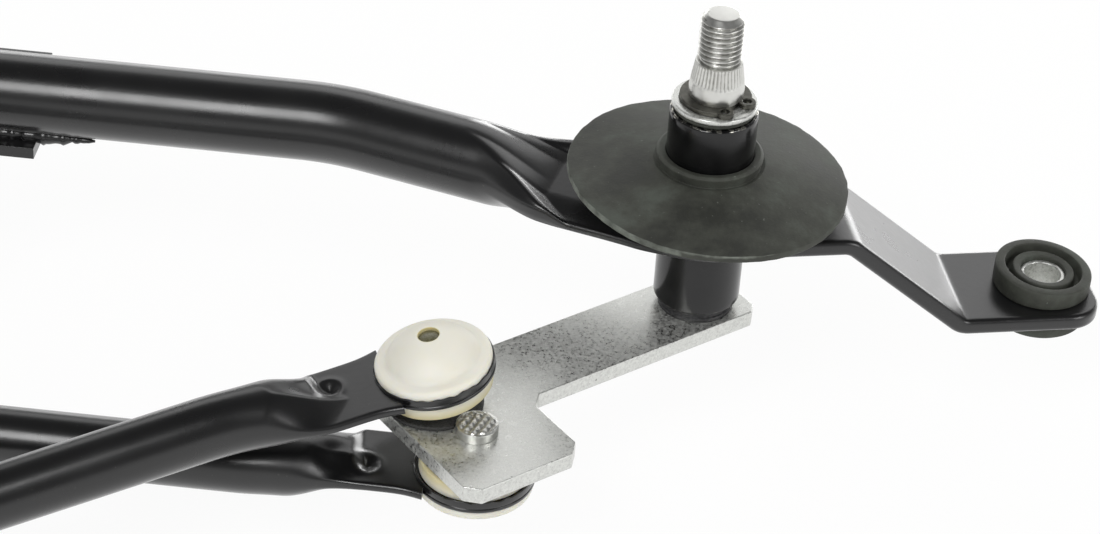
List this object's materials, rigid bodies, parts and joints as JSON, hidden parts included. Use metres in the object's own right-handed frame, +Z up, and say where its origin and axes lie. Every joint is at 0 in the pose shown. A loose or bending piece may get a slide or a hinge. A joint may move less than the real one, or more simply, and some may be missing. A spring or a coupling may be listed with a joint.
{
  "type": "wiper linkage",
  "caption": "Windscreen wiper linkage: a bent tube frame carries threaded spindles on levers that ball-jointed links swing together, with a plate for the motor.",
  "frame": {"origin": "on the right spindle's axis, at the base of its thread", "axes": "+Z up along the spindles towards the wiper arms, +X from the left spindle to the right one, +Y to the side where the frame tube's straight run lies"},
  "size_m": [0.6688, 0.221, 0.1173],
  "materials": {
    "black_paint": "satin black stove paint on steel tube",
    "housing_paint": "gloss black paint, rubbed at the rim",
    "bronze_bush": "oil-soaked sintered bronze",
    "black_rubber": "matt, faintly dusty",
    "zinc_plate": "zinc plated, mottled",
    "bright_steel": "turned and zinc plated",
    "spring_steel": "oiled dark spring steel",
    "dark_plastic": "matt moulded plastic",
    "dust_felt": "greased felt",
    "white_nylon": "milky moulded nylon, satin"
  },
  "bodies": {
    "frame": {"frame_tube": "black_paint", "motor_bracket": "black_paint", "right_housing": "housing_paint", "left_housing": "housing_paint", "right_upper_bush": "bronze_bush", "right_lower_bush": "bronze_bush", "left_upper_bush": "bronze_bush", "left_lower_bush": "bronze_bush", "right_seal": "black_rubber", "left_seal": "black_rubber", "right_rain_disc": "black_rubber", "left_rain_disc": "black_rubber", "right_grommet": "black_rubber", "left_grommet": "black_rubber", "right_sleeve": "zinc_plate", "left_sleeve": "zinc_plate"},
    "right_spindle": {"right_spindle": "bright_steel", "right_washer": "zinc_plate", "right_circlip": "spring_steel", "right_thrust_ring": "dark_plastic", "drive_lever": "zinc_plate", "drive_ball_stud": "bright_steel", "right_ball_stud": "bright_steel", "drive_dust_ring": "dust_felt", "right_dust_ring": "dust_felt"},
    "left_spindle": {"left_spindle": "bright_steel", "left_washer": "zinc_plate", "left_circlip": "spring_steel", "left_thrust_ring": "dark_plastic", "driven_lever": "zinc_plate", "left_ball_stud": "bright_steel", "left_dust_ring": "dust_felt"},
    "connecting_link": {"connecting_tube": "black_paint", "right_socket": "white_nylon", "left_socket": "white_nylon"},
    "drive_link": {"drive_tube": "black_paint", "lever_socket": "white_nylon", "motor_socket": "white_nylon"}
  },
  "joints": [
    {"name": "drive_sweep", "type": "hinge", "parent": "frame", "child": "right_spindle", "pos_m": [0, 0, 0], "axis": [0, 0, 1], "range_deg": [-8, 82]},
    {"name": "driven_sweep", "type": "hinge", "parent": "frame", "child": "left_spindle", "pos_m": [-0.48, 0, 0], "axis": [0, 0, 1], "range_deg": [-8, 82]},
    {"name": "connecting_swing", "type": "hinge", "parent": "right_spindle", "child": "connecting_link", "pos_m": [-0.04448, -0.05728, -0.0772], "axis": [0, 0, 1], "range_deg": [-82, 8]},
    {"name": "drive_swing", "type": "hinge", "parent": "right_spindle", "child": "drive_link", "pos_m": [-0.05526, -0.0477, -0.057], "axis": [0, 0, 1], "range_deg": [-82, 8]}
  ],
  "couplings": [
    {"joint": "driven_sweep", "follows": "drive_sweep", "ratio": 1},
    {"joint": "connecting_swing", "follows": "drive_sweep", "ratio": -1},
    {"joint": "drive_swing", "follows": "drive_sweep", "ratio": -1}
  ]
}
